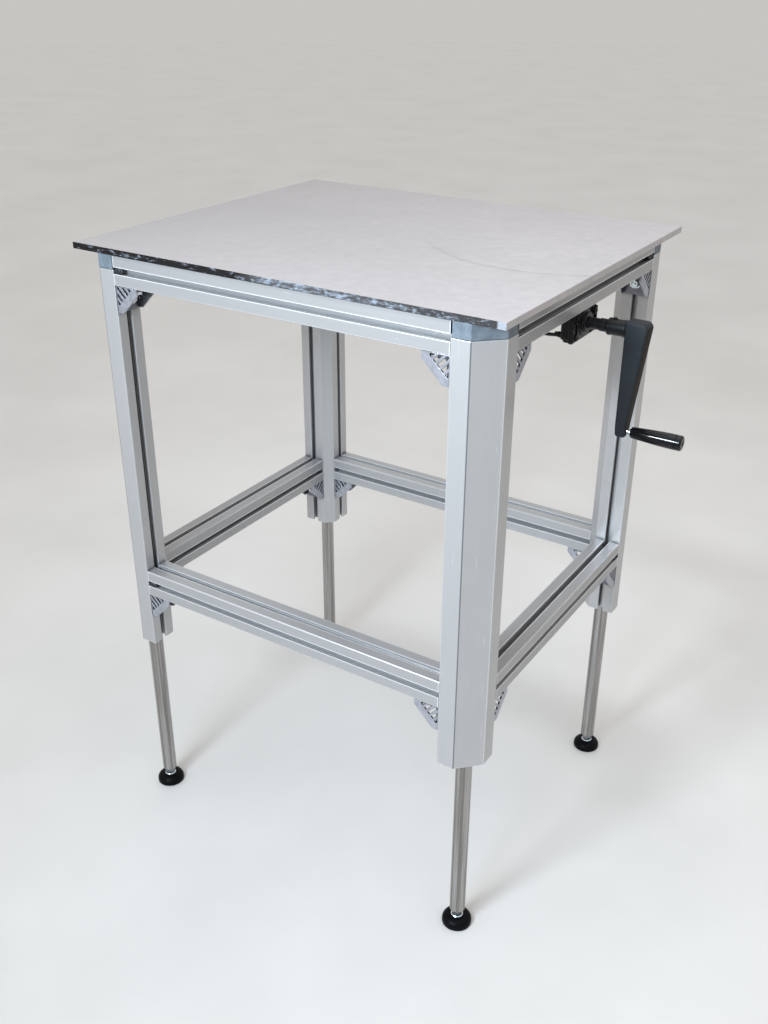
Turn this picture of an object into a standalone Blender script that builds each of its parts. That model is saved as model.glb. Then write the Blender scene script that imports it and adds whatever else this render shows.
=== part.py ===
"""Crank-lift table: a T-slot aluminium frame whose four hydraulic legs are driven by one hand crank.

Metres, +Z up. The model is drawn around the centre of the table's footprint, with the front towards -Y
and the crank on the right, and one empty then moves it so that the origin is the centre of the whole
object's base. It is drawn fully raised, with every rod 305 mm out of its post."""

import math

import bmesh
import bpy
from mathutils import Matrix, Vector

GAP = 0.0003  # left between pieces that touch

# Footprint, over the outer faces of the posts, and levels above the floor
FRAME_X = 0.686
FRAME_Y = 0.585
POST_BOTTOM = 0.337
POST_TOP = 0.990
FRAME_TOP = 1.012
LOWER_BEAM_BOTTOM = 0.437

# Beam profile: a square with a T-slot in every side
BEAM = 0.045
BEAM_EDGE = 0.001
BEAM_CORE_RADIUS = 0.005
SLOT_MOUTH = 0.010
SLOT_WIDTH = 0.020
SLOT_LIP = 0.0045
BEAM_SLOT_DEPTH = 0.014

# Post profile: outer corner cut off, a slotted wing towards each beam, round bore for the lift cylinder
POST_SIDE = 0.061
POST_CHAMFER = 0.033
POST_SLOT_DEPTH = 0.011
POST_AXIS = 0.0305  # from both outer faces to the bore's axis
POST_BORE_RADIUS = 0.0163
CAP_SETBACK = 0.0017  # of the cap's wings behind the post's

# Worktop
TOP_THICKNESS = 0.0095
TOP_SIDE_OVERHANG = 0.014
TOP_FRONT_OVERHANG = 0.003
TOP_BACK_OVERHANG = 0.0135

# Gusset under each beam end
GUSSET_LEG = 0.041
GUSSET_WIDTH = 0.0425
GUSSET_TIP = 0.010
GUSSET_PLATE = 0.005
GUSSET_CHEEK = 0.003
GUSSET_SLOTS = 5
GUSSET_SLOT_PITCH = 0.0082
GUSSET_SLOT_WIDTH = 0.0035
GUSSET_SLOT_CUT = 0.0032  # a slot goes through the cheek and just into the plates' sides
GUSSET_RIM = 0.0015  # left between a slot and the gusset's outer faces
GUSSET_BAND = 0.0124  # solid strip along the open side of each cheek

# Lift cylinder: barrel in the post, rod out of its lower end, levelling foot
BARREL_RADIUS = 0.016
BARREL_BORE_RADIUS = 0.0138
BARREL_BOTTOM = 0.345
BARREL_TOP = 0.960
BARREL_HEAD = 0.010
GLAND_RADIUS = 0.0128
GLAND_LENGTH = 0.020
ROD_RADIUS = 0.0125
ROD_BOTTOM = 0.0295
ROD_TOP = 0.507
PISTON_RADIUS = 0.0135
PISTON_LENGTH = 0.020
STUD_RADIUS = 0.006
STUD_BOTTOM = 0.0103
STUD_TOP = 0.070
STUD_HOLE_RADIUS = 0.0066
STUD_HOLE_TOP = 0.075
HEX_FLATS = 0.016
HEX_BOTTOM = 0.018
PAD_RADIUS = 0.024
PAD_HEIGHT = 0.016
PAD_SOCKET_RADIUS = 0.007
PAD_FLOOR = 0.010  # under the socket

# Pump, under the right upper beam
CRANK_Y = -0.020
CRANK_Z = 0.9495
FLANGE_THICKNESS = 0.008
FLANGE_FRONT = -0.061
FLANGE_BACK = 0.020
FLANGE_BOTTOM = 0.926
FLANGE_BORE_RADIUS = 0.0088
FLANGE_EDGE = 0.0015
BODY_DEPTH = 0.0167
BODY_FRONT = -0.050
BODY_BACK = 0.010
BODY_BOTTOM = 0.9265
BODY_EDGE = 0.004

# Crank
SHAFT_RADIUS = 0.008
SHAFT_IN = 0.016  # length inside the flange and the pump body
COLLAR_RADIUS = 0.012
COLLAR_START = 0.033  # from the flange's outer face
COLLAR_END = 0.0605
ARM_TOP_ABOVE_AXIS = 0.013
ARM_BOTTOM = 0.795
ARM_TOP_DEPTH = 0.032  # along the crank's axis
ARM_BOTTOM_DEPTH = 0.0155
ARM_TOP_WIDTH = 0.025
ARM_BOSS_WIDTH = 0.021
ARM_BOTTOM_WIDTH = 0.015
ARM_BOSS = 0.007  # flat above the handle's axis, where the ferrule seats
ARM_EDGE = 0.002
HANDLE_Z = 0.8035
FERRULE_RADIUS = 0.005
FERRULE_LENGTH = 0.0057
GRIP_LENGTH = 0.074
GRIP_INNER_RADIUS = 0.008
GRIP_OUTER_RADIUS = 0.011
GRIP_BORE_RADIUS = 0.0043
GRIP_END = 0.006  # closed end past the bore
GRIP_EDGE = 0.003
PIN_RADIUS = 0.004

# Hydraulic hoses
HOSE_RADIUS = 0.0025
HOSE_HOLE_RADIUS = 0.0035
HOSE_PORT_Z = 0.977
HOSE_LOW_Z = 0.9315  # of the front right hose's port on the pump
HOSE_HIGH_Z = 0.952  # of the other three
HOSE_STEP = 0.0135

UPPER_BEAM_BOTTOM = FRAME_TOP - BEAM
HALF_X = FRAME_X / 2
HALF_Y = FRAME_Y / 2
WING = POST_SIDE + GAP  # from a post's outer face to the end of the beam
FLANGE_OUT = HALF_X
ARM_IN = FLANGE_OUT + COLLAR_END + GAP
GRIP_START = ARM_IN + ARM_BOTTOM_DEPTH + 2 * GAP + FERRULE_LENGTH
RIGHT_END = GRIP_START + GRIP_LENGTH
ORIGIN_X = (RIGHT_END - HALF_X - TOP_SIDE_OVERHANG) / 2
ORIGIN_Y = (TOP_BACK_OVERHANG - TOP_FRONT_OVERHANG) / 2
QUARTER = math.pi / 2

# Each corner: name, signs of x and y, quarter turns of the post from the front left one
CORNERS = [
    ("front_left", -1, -1, 0),
    ("front_right", 1, -1, 1),
    ("back_right", 1, 1, 2),
    ("back_left", -1, 1, 3),
]

ANODISED = ("anodised_aluminium", (0.62, 0.65, 0.70), 0.38, 0.85)
DIE_CAST = ("die_cast_aluminium", (0.42, 0.43, 0.46), 0.45, 0.80)
CAP_PLASTIC = ("blue_grey_plastic", (0.22, 0.29, 0.36), 0.55, 0.0)
TOP_PLATE = ("satin_aluminium_plate", (0.52, 0.50, 0.49), 0.42, 0.9)
BLACK_METAL = ("black_painted_metal", (0.012, 0.013, 0.015), 0.50, 0.3)
CHARCOAL = ("charcoal_painted_metal", (0.024, 0.027, 0.031), 0.55, 0.2)
GLOSS_BLACK = ("gloss_black_plastic", (0.006, 0.006, 0.008), 0.15, 0.0)
ZINC = ("zinc_plated_steel", (0.55, 0.60, 0.66), 0.28, 1.0)
ROD_STEEL = ("ground_steel", (0.50, 0.51, 0.52), 0.22, 1.0)
BARREL_STEEL = ("barrel_steel", (0.30, 0.30, 0.31), 0.45, 1.0)
PAD_PLASTIC = ("pad_plastic", (0.015, 0.015, 0.016), 0.45, 0.0)
HOSE_BLACK = ("hose_black", (0.010, 0.010, 0.011), 0.40, 0.0)


def clear_scene():
    for thing in list(bpy.data.objects):
        bpy.data.objects.remove(thing)


def material(finish):
    """The material of a finish: name, colour, roughness and metallic value."""
    name, colour, roughness, metallic = finish
    made = bpy.data.materials.get(name)
    if made is None:
        made = bpy.data.materials.new(name)
        made.use_nodes = True
        shader = made.node_tree.nodes["Principled BSDF"]
        shader.inputs["Base Color"].default_value = (*colour, 1.0)
        shader.inputs["Roughness"].default_value = roughness
        shader.inputs["Metallic"].default_value = metallic
    return made


def add(name, mesh, finish, table, location=(0, 0, 0), turn=0.0):
    """Puts a mesh in the scene as one sub-part, turned about Z and placed under the table's empty."""
    piece = bpy.data.objects.new(name, mesh)
    bpy.context.scene.collection.objects.link(piece)
    if not mesh.materials:
        mesh.materials.append(material(finish))
    piece.parent = table
    piece.location = location
    piece.rotation_euler = (0, 0, turn)
    return piece


def to_mesh(bm, name, smooth=False):
    bmesh.ops.remove_doubles(bm, verts=bm.verts, dist=1e-7)
    bmesh.ops.recalc_face_normals(bm, faces=bm.faces)
    mesh = bpy.data.meshes.new(name)
    bm.to_mesh(mesh)
    bm.free()
    if smooth:
        mesh.shade_smooth()
        mesh.set_sharp_from_angle(angle=math.radians(35))
    return mesh


def circle(radius, steps, centre=(0, 0)):
    angles = [2 * math.pi * k / steps for k in range(steps)]
    return [(centre[0] + radius * math.cos(a), centre[1] + radius * math.sin(a)) for a in angles]


def prism(name, outline, length, holes=(), transform=None):
    """A flat outline with holes, drawn in XY and extruded up Z."""
    bm = bmesh.new()
    for loop in (outline, *holes):
        verts = [bm.verts.new((x, y, 0)) for x, y in loop]
        for first, second in zip(verts, verts[1:] + verts[:1]):
            bm.edges.new((first, second))
    bmesh.ops.triangle_fill(bm, use_beauty=True, use_dissolve=False, edges=bm.edges, normal=(0, 0, 1))
    end = bmesh.ops.extrude_face_region(bm, geom=bm.faces[:])
    moved = [v for v in end["geom"] if isinstance(v, bmesh.types.BMVert)]
    bmesh.ops.translate(bm, verts=moved, vec=(0, 0, length))
    if transform is not None:
        bmesh.ops.transform(bm, matrix=transform, verts=bm.verts)
    return to_mesh(bm, name)


def turned(name, profile, steps, transform=None):
    """A profile of (radius, height) that starts and ends on the axis, spun about Z."""
    bm = bmesh.new()
    verts = [bm.verts.new((r, 0, z)) for r, z in profile]
    edges = [bm.edges.new(pair) for pair in zip(verts, verts[1:])]
    turn = {"axis": (0, 0, 1), "cent": (0, 0, 0), "angle": 2 * math.pi}
    bmesh.ops.spin(bm, geom=verts + edges, steps=steps, use_merge=True, **turn)
    if transform is not None:
        bmesh.ops.transform(bm, matrix=transform, verts=bm.verts)
    return to_mesh(bm, name, smooth=True)


def combined(name, base, tool, operation):
    """The mesh that an exact Boolean makes of two meshes."""
    pair = [bpy.data.objects.new(label, mesh) for label, mesh in (("base", base), ("tool", tool))]
    for thing in pair:
        bpy.context.scene.collection.objects.link(thing)
    cut = pair[0].modifiers.new("cut", "BOOLEAN")
    cut.operation = operation
    cut.object = pair[1]
    made = bpy.data.meshes.new_from_object(pair[0].evaluated_get(bpy.context.evaluated_depsgraph_get()))
    for thing in pair:
        bpy.data.objects.remove(thing)
    made.name = name
    return made


def slotted(start, end, depth):
    """The outline from one corner of a profile to the next, with a T-slot let in to the left."""
    start, end = Vector(start), Vector(end)
    along = (end - start).normalized()
    inward = Vector((-along.y, along.x))
    centre = start.lerp(end, 0.5)
    mouth, wide = SLOT_MOUTH / 2, SLOT_WIDTH / 2
    inside = depth - SLOT_LIP
    shoulder, floor = SLOT_LIP + 0.45 * inside, wide - 0.35 * inside
    half = [(mouth, 0), (mouth, SLOT_LIP), (wide, SLOT_LIP), (wide, shoulder), (floor, depth)]
    steps = [(-a, d) for a, d in half] + [(a, d) for a, d in reversed(half)]
    return [tuple(start)] + [tuple(centre + along * a + inward * d) for a, d in steps]


def beam_mesh(name, length):
    """A beam's profile, extruded along +X from its end face."""
    h, e = BEAM / 2, BEAM_EDGE
    outline = []
    for k in range(4):
        turn = Matrix.Rotation(k * QUARTER, 2)
        side = slotted(turn @ Vector((-h + e, -h)), turn @ Vector((h - e, -h)), BEAM_SLOT_DEPTH)
        outline += [*side, tuple(turn @ Vector((h - e, -h)))]
    along_x = Matrix(((0, 0, 1, 0), (1, 0, 0, 0), (0, 1, 0, 0), (0, 0, 0, 1)))
    return prism(name, outline, length, holes=[circle(BEAM_CORE_RADIUS, 8)], transform=along_x)


def corner_outline(side, with_slots):
    """The post's outline from its cut outer corner round both wings, or the cap's without slots."""
    points = [(POST_CHAMFER, 0)]
    if with_slots:
        points += slotted((side, 0), (side, BEAM), POST_SLOT_DEPTH)
        points.append((side, BEAM))
        points += slotted((BEAM, side), (0, side), POST_SLOT_DEPTH)
    else:
        points += [(side, 0), (side, BEAM), (BEAM, side)]
    return points + [(0, side), (0, POST_CHAMFER)]


def post_mesh():
    """A leg profile with its corner at the origin, bored for the cylinder and drilled for the hose."""
    bore = circle(POST_BORE_RADIUS, 24, (POST_AXIS, POST_AXIS))
    length = POST_TOP - POST_BOTTOM
    blank = prism("post_blank", corner_outline(POST_SIDE, True), length, holes=[bore])
    out = Matrix.Rotation(math.radians(45), 4, "Z") @ Matrix.Rotation(QUARTER, 4, "Y")
    at = Matrix.Translation((POST_AXIS, POST_AXIS, HOSE_PORT_Z - POST_BOTTOM))
    drill = prism("hose_drill", circle(HOSE_HOLE_RADIUS, 10), 0.05, transform=at @ out)
    return combined("post", blank, drill, "DIFFERENCE")


def cap_mesh():
    return prism("cap", corner_outline(POST_SIDE - CAP_SETBACK, False), FRAME_TOP - POST_TOP - GAP)


def upright(width, side=0.0):
    """Stands a prism drawn in XZ on its side, across the gusset and centred at a distance along Y."""
    return Matrix.Translation((0, side + width / 2, 0)) @ Matrix.Rotation(QUARTER, 4, "X")


def gusset_slots():
    """Slots in the cheeks, square to the gusset's open side and shorter towards its ends."""
    middle = Vector((GUSSET_LEG + GUSSET_TIP, -GUSSET_LEG - GUSSET_TIP)) / 2
    along = Vector((-1, -1)).normalized()
    inward = Vector((-1, 1)).normalized()
    half = GUSSET_SLOT_WIDTH / 2
    reach = (middle.x - GUSSET_RIM) * math.sqrt(2) - half
    cutters = bmesh.new()
    for k in range(GUSSET_SLOTS):
        offset = (k - (GUSSET_SLOTS - 1) / 2) * GUSSET_SLOT_PITCH
        near, far = GUSSET_BAND, reach - abs(offset)
        corners = [(-half, near), (half, near), (half, far), (-half, far)]
        outline = [tuple(middle + along * (offset + a) + inward * b) for a, b in corners]
        for side in (-1, 1):
            place = upright(2 * GUSSET_SLOT_CUT, side * GUSSET_WIDTH / 2)
            cutters.from_mesh(prism("slot", outline, 2 * GUSSET_SLOT_CUT, transform=place))
    return to_mesh(cutters, "gusset_slots")


def gusset_mesh():
    """A gusset with its inner corner at the origin: one plate along +X, one down -Z, two slotted cheeks."""
    leg, tip, plate = GUSSET_LEG, GUSSET_TIP, GUSSET_PLATE
    outline = [(0, 0), (0, -leg), (tip, -leg), (leg, -tip), (leg, 0)]
    body = prism("gusset_body", outline, GUSSET_WIDTH, transform=upright(GUSSET_WIDTH))
    inside = GUSSET_WIDTH - 2 * GUSSET_CHEEK
    pocket_outline = [(plate, -plate), (plate, -2 * leg), (2 * leg, -plate)]
    pocket = prism("gusset_pocket", pocket_outline, inside, transform=upright(inside))
    return combined("gusset", combined("hollow", body, pocket, "DIFFERENCE"), gusset_slots(), "DIFFERENCE")


def block_mesh(name, low, high, edge):
    """A box with bevelled edges, between two corners."""
    bm = bmesh.new()
    low, high = Vector(low), Vector(high)
    size = high - low
    place = Matrix.Translation((low + high) / 2) @ Matrix.Diagonal((*size, 1))
    bmesh.ops.create_cube(bm, size=1, matrix=place)
    bmesh.ops.bevel(bm, geom=bm.edges[:], offset=edge, segments=2, profile=0.5, affect="EDGES")
    return to_mesh(bm, name, smooth=True)


def along_x_from(x, y, z):
    """Lays a turned piece along +X, starting at a point."""
    return Matrix.Translation((x, y, z)) @ Matrix.Rotation(QUARTER, 4, "Y")


def add_worktop(table):
    low = (-HALF_X - TOP_SIDE_OVERHANG, -HALF_Y - TOP_FRONT_OVERHANG, FRAME_TOP + GAP)
    high = (HALF_X + TOP_SIDE_OVERHANG, HALF_Y + TOP_BACK_OVERHANG, FRAME_TOP + GAP + TOP_THICKNESS)
    add("worktop", block_mesh("worktop", low, high, 0.0006), TOP_PLATE, table)


def add_posts_and_caps(table):
    post, cap = post_mesh(), cap_mesh()
    for corner, sx, sy, turns in CORNERS:
        place = (sx * HALF_X, sy * HALF_Y)
        add(f"post_{corner}", post, ANODISED, table, (*place, POST_BOTTOM), turns * QUARTER)
        add(f"cap_{corner}", cap, CAP_PLASTIC, table, (*place, POST_TOP + GAP), turns * QUARTER)


def add_beams(table):
    """Eight beams between the posts, flush with their outer faces."""
    long_x, long_y = FRAME_X - 2 * WING, FRAME_Y - 2 * WING
    beam_x, beam_y = beam_mesh("beam_x", long_x), beam_mesh("beam_y", long_y)
    for level, bottom in (("upper", UPPER_BEAM_BOTTOM), ("lower", LOWER_BEAM_BOTTOM)):
        z = bottom + BEAM / 2
        for side, sign in (("front", -1), ("back", 1)):
            place = (-long_x / 2, sign * (HALF_Y - BEAM / 2), z)
            add(f"beam_{level}_{side}", beam_x, ANODISED, table, place)
        for side, sign in (("left", -1), ("right", 1)):
            place = (sign * (HALF_X - BEAM / 2), -long_y / 2, z)
            add(f"beam_{level}_{side}", beam_y, ANODISED, table, place, QUARTER)


def add_gussets(table):
    """One under each end of each beam, against the post's wing."""
    gusset = gusset_mesh()
    for level, bottom in (("upper", UPPER_BEAM_BOTTOM), ("lower", LOWER_BEAM_BOTTOM)):
        z = bottom - GAP
        for corner, sx, sy, _ in CORNERS:
            inner_x, inner_y = sx * (HALF_X - WING), sy * (HALF_Y - WING)
            middle_x, middle_y = sx * (HALF_X - BEAM / 2), sy * (HALF_Y - BEAM / 2)
            turn_x, turn_y = QUARTER * (1 + sx), -QUARTER * sy
            name = f"gusset_{level}_{corner}"
            add(f"{name}_x", gusset, DIE_CAST, table, (inner_x, middle_y, z), turn_x)
            add(f"{name}_y", gusset, DIE_CAST, table, (middle_x, inner_y, z), turn_y)


def barrel_mesh():
    head = BARREL_TOP - BARREL_HEAD
    gland = BARREL_BOTTOM + GLAND_LENGTH
    profile = [
        (0, BARREL_TOP),
        (BARREL_RADIUS, BARREL_TOP),
        (BARREL_RADIUS, BARREL_BOTTOM),
        (GLAND_RADIUS, BARREL_BOTTOM),
        (GLAND_RADIUS, gland),
        (BARREL_BORE_RADIUS, gland),
        (BARREL_BORE_RADIUS, head),
        (0, head),
    ]
    return turned("barrel", profile, 24)


def rod_mesh():
    """The rod with its piston on top and a blind hole for the foot's stud below, from its lower end."""
    top = ROD_TOP - ROD_BOTTOM
    hole = STUD_HOLE_TOP - ROD_BOTTOM
    profile = [
        (0, hole),
        (STUD_HOLE_RADIUS, hole),
        (STUD_HOLE_RADIUS, 0),
        (ROD_RADIUS, 0),
        (ROD_RADIUS, top),
        (PISTON_RADIUS, top),
        (PISTON_RADIUS, top + PISTON_LENGTH),
        (0, top + PISTON_LENGTH),
    ]
    return turned("rod", profile, 24)


def stud_mesh():
    """The foot's threaded stud with the hexagon that turns it, from the floor up."""
    stud = turned(
        "stud_bar",
        [(0, STUD_BOTTOM), (STUD_RADIUS, STUD_BOTTOM), (STUD_RADIUS, STUD_TOP), (0, STUD_TOP)],
        12,
    )
    corner_radius = HEX_FLATS / math.sqrt(3)
    height = ROD_BOTTOM - GAP - HEX_BOTTOM
    lift = Matrix.Translation((0, 0, HEX_BOTTOM))
    hexagon = prism("hexagon", circle(corner_radius, 6), height, transform=lift)
    return combined("stud", stud, hexagon, "UNION")


def pad_mesh():
    profile = [
        (0, 0),
        (PAD_RADIUS - 0.002, 0),
        (PAD_RADIUS, 0.002),
        (PAD_RADIUS, 0.006),
        (PAD_RADIUS * 0.86, 0.0105),
        (PAD_RADIUS * 0.60, 0.0145),
        (PAD_RADIUS * 0.42, PAD_HEIGHT),
        (PAD_SOCKET_RADIUS, PAD_HEIGHT),
        (PAD_SOCKET_RADIUS, PAD_FLOOR),
        (0, PAD_FLOOR),
    ]
    return turned("pad", profile, 24)


def add_legs(table):
    """A lift cylinder and its levelling foot in each post."""
    barrel, rod, stud, pad = barrel_mesh(), rod_mesh(), stud_mesh(), pad_mesh()
    for corner, sx, sy, _ in CORNERS:
        axis = (sx * (HALF_X - POST_AXIS), sy * (HALF_Y - POST_AXIS))
        add(f"barrel_{corner}", barrel, BARREL_STEEL, table, (*axis, 0))
        add(f"rod_{corner}", rod, ROD_STEEL, table, (*axis, ROD_BOTTOM))
        add(f"foot_stud_{corner}", stud, ZINC, table, (*axis, 0))
        add(f"foot_pad_{corner}", pad, PAD_PLASTIC, table, (*axis, 0))


def add_pump(table):
    """The pump's flange, flush with the frame's right side, and the body behind it."""
    inner = FLANGE_OUT - FLANGE_THICKNESS
    top = UPPER_BEAM_BOTTOM - GAP
    low, high = (inner, FLANGE_FRONT, FLANGE_BOTTOM), (FLANGE_OUT, FLANGE_BACK, top)
    plate = block_mesh("plate", low, high, FLANGE_EDGE)
    drill = along_x_from(inner - FLANGE_THICKNESS, CRANK_Y, CRANK_Z)
    circle_of_bore = circle(FLANGE_BORE_RADIUS, 20)
    bore = prism("flange_bore", circle_of_bore, 3 * FLANGE_THICKNESS, transform=drill)
    add("pump_flange", combined("pump_flange", plate, bore, "DIFFERENCE"), BLACK_METAL, table)
    body_out = inner - GAP
    body_in = body_out - BODY_DEPTH
    low, high = (body_in, BODY_FRONT, BODY_BOTTOM), (body_out, BODY_BACK, top)
    body = block_mesh("body", low, high, BODY_EDGE)
    depth = SHAFT_IN - FLANGE_THICKNESS + 2 * GAP
    drill = along_x_from(body_out - depth, CRANK_Y, CRANK_Z)
    bore = prism("body_bore", circle_of_bore, 2 * depth, transform=drill)
    add("pump_body", combined("pump_body", body, bore, "DIFFERENCE"), BLACK_METAL, table)


def arm_mesh():
    """The crank's arm: straight towards the table, sloping in on the far side, narrower at the bottom."""
    top = ARM_TOP_ABOVE_AXIS
    bottom = ARM_BOTTOM - CRANK_Z
    corner = 0.008
    boss_top = HANDLE_Z - CRANK_Z + ARM_BOSS
    side = [(0, bottom), (ARM_BOTTOM_DEPTH, bottom), (ARM_BOTTOM_DEPTH, boss_top)]
    side.append((ARM_TOP_DEPTH, top - corner))
    for k in range(1, 4):
        angle = QUARTER * k / 3
        back, down = corner * (1 - math.cos(angle)), corner * (1 - math.sin(angle))
        side.append((ARM_TOP_DEPTH - back, top - down))
    side += [(0, top), (0, boss_top)]
    arm = prism("crank_arm", side, 1.0, transform=upright(1.0))
    for vertex in arm.vertices:
        if vertex.co.z < boss_top:
            share = (vertex.co.z - bottom) / (boss_top - bottom)
            vertex.co.y *= ARM_BOTTOM_WIDTH + share * (ARM_BOSS_WIDTH - ARM_BOTTOM_WIDTH)
        else:
            share = (vertex.co.z - boss_top) / (top - boss_top)
            vertex.co.y *= ARM_BOSS_WIDTH + share * (ARM_TOP_WIDTH - ARM_BOSS_WIDTH)
    return arm


def add_crank(table):
    """Shaft and collar, arm, and the handle's pin, all with their origin on the crank's axis."""
    axis = (FLANGE_OUT, CRANK_Y, CRANK_Z)
    profile = [
        (0, -SHAFT_IN),
        (SHAFT_RADIUS, -SHAFT_IN),
        (SHAFT_RADIUS, COLLAR_START),
        (COLLAR_RADIUS, COLLAR_START),
        (COLLAR_RADIUS, COLLAR_END),
        (0, COLLAR_END),
    ]
    shaft = turned("crank_shaft", profile, 20, transform=Matrix.Rotation(QUARTER, 4, "Y"))
    add("crank_shaft", shaft, BLACK_METAL, table, axis)
    arm = add("crank_arm", arm_mesh(), CHARCOAL, table, (ARM_IN, CRANK_Y, CRANK_Z))
    edges = arm.modifiers.new("edges", "BEVEL")
    edges.width = ARM_EDGE
    edges.segments = 1
    edges.limit_method = "ANGLE"
    edges.angle_limit = math.radians(50)
    add_handle(table)


def add_handle(table):
    """The handle's pin with its ferrule, and the grip that turns freely on it."""
    ferrule_start = ARM_IN + ARM_BOTTOM_DEPTH + GAP
    drop = HANDLE_Z - CRANK_Z
    inside = GRIP_LENGTH - GRIP_END - 0.002
    profile = [
        (0, 0),
        (FERRULE_RADIUS, 0),
        (FERRULE_RADIUS, FERRULE_LENGTH),
        (PIN_RADIUS, FERRULE_LENGTH),
        (PIN_RADIUS, FERRULE_LENGTH + inside),
        (0, FERRULE_LENGTH + inside),
    ]
    pin = turned("grip_pin", profile, 16, transform=along_x_from(0, 0, drop))
    add("grip_pin", pin, ZINC, table, (ferrule_start, CRANK_Y, CRANK_Z))
    length, r0, r1 = GRIP_LENGTH, GRIP_INNER_RADIUS, GRIP_OUTER_RADIUS
    profile = [
        (0, length),
        (r1 - GRIP_EDGE, length),
        (r1, length - GRIP_EDGE),
        (r1, 0.75 * length),
        (r0 + 0.75 * (r1 - r0), 0.35 * length),
        (r0, 0),
        (GRIP_BORE_RADIUS, 0),
        (GRIP_BORE_RADIUS, length - GRIP_END),
        (0, length - GRIP_END),
    ]
    grip = turned("grip", profile, 20, transform=Matrix.Rotation(QUARTER, 4, "Y"))
    add("grip", grip, GLOSS_BLACK, table, (GRIP_START, CRANK_Y, HANDLE_Z))


def smooth_route(points, step):
    """Points about a step apart on a Catmull-Rom curve through a route's own points."""
    points = [Vector(p) for p in points]
    padded = [2 * points[0] - points[1], *points, 2 * points[-1] - points[-2]]
    route = []
    for before, start, end, after in zip(padded, padded[1:], padded[2:], padded[3:]):
        pieces = max(1, round((end - start).length / step))
        for k in range(pieces):
            t = k / pieces
            bend = (2 * before - 5 * start + 4 * end - after) * t**2
            twist = (3 * start - before - 3 * end + after) * t**3
            route.append((2 * start + (end - before) * t + bend + twist) / 2)
    return [*route, points[-1]]


def hose_routes():
    """Each hose's route from the pump, up beside the right beam and round to its post."""
    start_x = FLANGE_OUT - FLANGE_THICKNESS - 2 * GAP - BODY_DEPTH
    sx, sy = HALF_X - POST_AXIS, HALF_Y - POST_AXIS
    end, face, out = (d / math.sqrt(2) for d in (BARREL_RADIUS + 2 * GAP, 0.034, 0.048))
    middles = {
        "front_right": [(0.292, -0.040, 0.929), (0.272, -0.050, 0.936), (0.264, -0.080, 0.958),
                        (0.265, -0.125, 0.977), (0.267, -0.175, 0.984)],
        "front_left": [(0.288, -0.029, 0.952), (0.262, -0.036, 0.956), (0.236, -0.062, 0.967),
                       (0.205, -0.110, 0.984), (0.150, -0.175, 0.993), (0.070, -0.220, 0.994),
                       (-0.060, -0.234, 0.993), (-0.180, -0.232, 0.992), (-0.243, -0.221, 0.986)],
        "back_left": [(0.288, -0.015, 0.952), (0.262, -0.008, 0.956), (0.236, 0.018, 0.967),
                      (0.205, 0.070, 0.984), (0.150, 0.150, 0.993), (0.070, 0.212, 0.994),
                      (-0.060, 0.234, 0.993), (-0.180, 0.232, 0.992), (-0.243, 0.221, 0.986)],
        "back_right": [(0.292, -0.004, 0.952), (0.272, 0.006, 0.955), (0.264, 0.036, 0.964),
                       (0.265, 0.095, 0.977), (0.267, 0.165, 0.984)],
    }
    ports = {"front_right": -0.040, "front_left": -0.028, "back_left": -0.016, "back_right": -0.004}
    for corner, x, y, _ in CORNERS:
        start = (start_x, ports[corner], HOSE_LOW_Z if corner == "front_right" else HOSE_HIGH_Z)
        entry = [(x * (sx - d), y * (sy - d), HOSE_PORT_Z) for d in (out, face, end)]
        yield corner, [start, *middles[corner], *entry]


def add_hoses(table):
    for corner, route in hose_routes():
        curve = bpy.data.curves.new(f"hose_{corner}", "CURVE")
        curve.dimensions = "3D"
        curve.bevel_depth = HOSE_RADIUS
        curve.bevel_resolution = 2
        curve.use_fill_caps = True
        points = smooth_route(route, HOSE_STEP)
        spline = curve.splines.new("POLY")
        spline.points.add(len(points) - 1)
        for knot, place in zip(spline.points, points):
            knot.co = (*place, 1)
        curve.materials.append(material(HOSE_BLACK))
        hose = bpy.data.objects.new(f"hose_{corner}", curve)
        bpy.context.scene.collection.objects.link(hose)
        hose.parent = table


def main():
    clear_scene()
    table = bpy.data.objects.new("table", None)
    bpy.context.scene.collection.objects.link(table)
    table.location = (-ORIGIN_X, -ORIGIN_Y, 0)
    add_worktop(table)
    add_posts_and_caps(table)
    add_beams(table)
    add_gussets(table)
    add_legs(table)
    add_pump(table)
    add_crank(table)
    add_hoses(table)
    bpy.context.view_layer.update()


main()
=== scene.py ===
"""Looks of the crank-lift table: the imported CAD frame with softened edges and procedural
finishes, and fine pieces for the worktop, gussets, rods, feet, pump, crank, hoses and
fasteners. Metres, in the frame of the CAD model."""

import math
import random

import bmesh
import bpy
from mathutils import Matrix, Vector


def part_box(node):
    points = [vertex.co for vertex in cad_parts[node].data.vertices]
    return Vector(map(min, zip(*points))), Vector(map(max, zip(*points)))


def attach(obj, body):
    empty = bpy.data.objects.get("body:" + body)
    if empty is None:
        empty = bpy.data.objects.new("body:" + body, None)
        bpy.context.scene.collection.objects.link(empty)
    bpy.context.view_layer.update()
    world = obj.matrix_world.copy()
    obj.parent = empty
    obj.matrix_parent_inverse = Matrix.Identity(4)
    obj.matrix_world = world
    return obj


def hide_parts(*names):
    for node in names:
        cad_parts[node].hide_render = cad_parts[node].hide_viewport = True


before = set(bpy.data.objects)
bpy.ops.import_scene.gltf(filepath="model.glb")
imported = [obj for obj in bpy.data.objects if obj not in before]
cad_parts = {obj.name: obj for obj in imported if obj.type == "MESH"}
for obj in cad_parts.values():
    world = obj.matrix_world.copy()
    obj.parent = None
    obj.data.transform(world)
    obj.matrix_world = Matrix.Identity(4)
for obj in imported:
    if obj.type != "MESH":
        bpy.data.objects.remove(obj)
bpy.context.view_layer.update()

QUARTER = math.pi / 2
ALONG_X = Matrix.Rotation(QUARTER, 4, "Y")
UPSIDE_DOWN = Matrix.Rotation(math.pi, 4, "X")
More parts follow.
